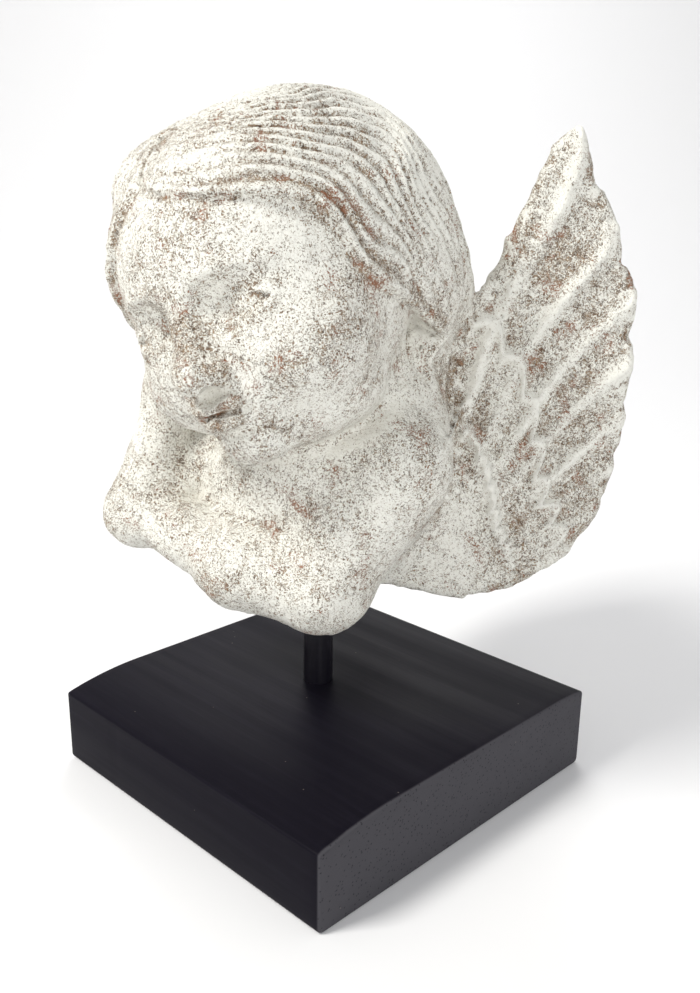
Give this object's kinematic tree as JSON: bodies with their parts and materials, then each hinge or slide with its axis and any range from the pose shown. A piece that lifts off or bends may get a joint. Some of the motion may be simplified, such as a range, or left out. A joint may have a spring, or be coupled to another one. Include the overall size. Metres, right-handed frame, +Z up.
{
  "type": "putto statue on stand",
  "caption": "Decorative putto: a winged child's head and folded arms carved in one piece, held by a short rod above a square wooden slab.",
  "frame": {"origin": "centre of the slab's underside", "axes": "+Z up, -Y the way the child faces, +X the child's left"},
  "size_m": [0.15, 0.1728, 0.2631],
  "materials": {
    "limewashed_stone": "matte off-white limewash worn through to brown",
    "black_wood": "black stain, satin",
    "black_steel": "black paint, satin"
  },
  "bodies": {
    "root": {"slab": "black_wood", "rod": "black_steel", "putto": "limewashed_stone"}
  },
  "joints": []
}
